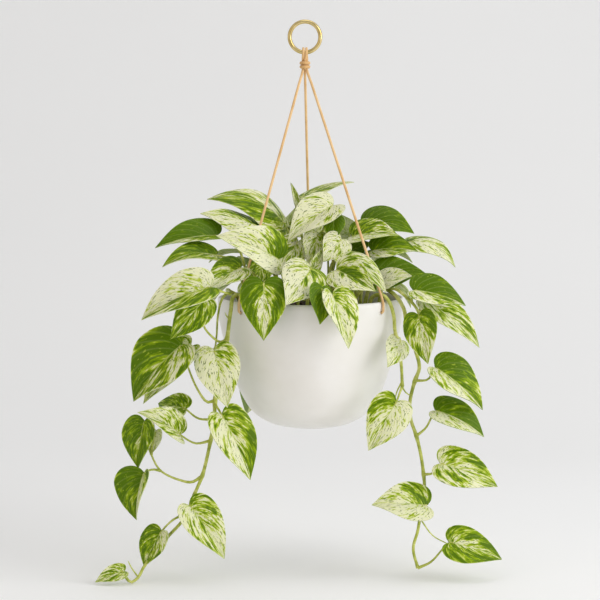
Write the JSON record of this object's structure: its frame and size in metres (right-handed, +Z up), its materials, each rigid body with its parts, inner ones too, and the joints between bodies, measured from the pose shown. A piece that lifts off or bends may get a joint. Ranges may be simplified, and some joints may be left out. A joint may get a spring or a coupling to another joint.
{
  "type": "potted marble queen pothos in a hanging planter",
  "caption": "Variegated pothos with heart-shaped marbled leaves and trailing vines, in a white ceramic bowl hung by leather cords from a brass ring.",
  "frame": {"origin": "top of the hanging ring, on its outer edge, where a hook carries it", "axes": "+Z up, -Y towards the front with the two front cords and the long vines, +X to the right seen from the front"},
  "size_m": [0.4391, 0.2793, 0.6035],
  "materials": {
    "polished_brass": "polished",
    "tan_leather": "matte",
    "white_ceramic": "satin",
    "potting_mix": "matte",
    "variegated_leaf": "satin"
  },
  "bodies": {
    "ring": {"hanging_ring": "polished_brass"},
    "planter": {"planter_bowl": "white_ceramic", "potting_soil": "potting_mix", "cord_binding": "tan_leather", "cord_left_back": "tan_leather", "cord_right": "tan_leather", "vine_left_long": "variegated_leaf", "vine_left_short": "variegated_leaf", "vine_right_long": "variegated_leaf", "vine_right_short": "variegated_leaf", "crown_left_top": "variegated_leaf", "crown_left_high": "variegated_leaf", "crown_left_outer": "variegated_leaf", "crown_left_front": "variegated_leaf", "crown_left_low": "variegated_leaf", "crown_left_inner": "variegated_leaf", "crown_front_left": "variegated_leaf", "crown_front_middle": "variegated_leaf", "crown_front_right": "variegated_leaf", "crown_top_middle": "variegated_leaf", "crown_inner_left": "variegated_leaf", "crown_inner_front": "variegated_leaf", "crown_inner_right": "variegated_leaf", "crown_top_back": "variegated_leaf", "crown_inner_back": "variegated_leaf", "crown_right_top": "variegated_leaf", "crown_right_back": "variegated_leaf", "crown_right_middle": "variegated_leaf", "crown_right_outer": "variegated_leaf", "crown_right_low": "variegated_leaf", "crown_right_front": "variegated_leaf", "crown_right_inner": "variegated_leaf", "crown_back_1": "variegated_leaf", "crown_back_2": "variegated_leaf", "crown_back_3": "variegated_leaf", "crown_back_4": "variegated_leaf", "crown_back_5": "variegated_leaf", "crown_back_6": "variegated_leaf", "vine_back_1": "variegated_leaf", "vine_back_2": "variegated_leaf"}
  },
  "joints": [
    {"name": "ring_swing", "type": "hinge", "parent": "ring", "child": "planter", "pos_m": [0, 0, -0.0357], "axis": [1, 0, 0], "range_deg": [-45, 45]}
  ]
}
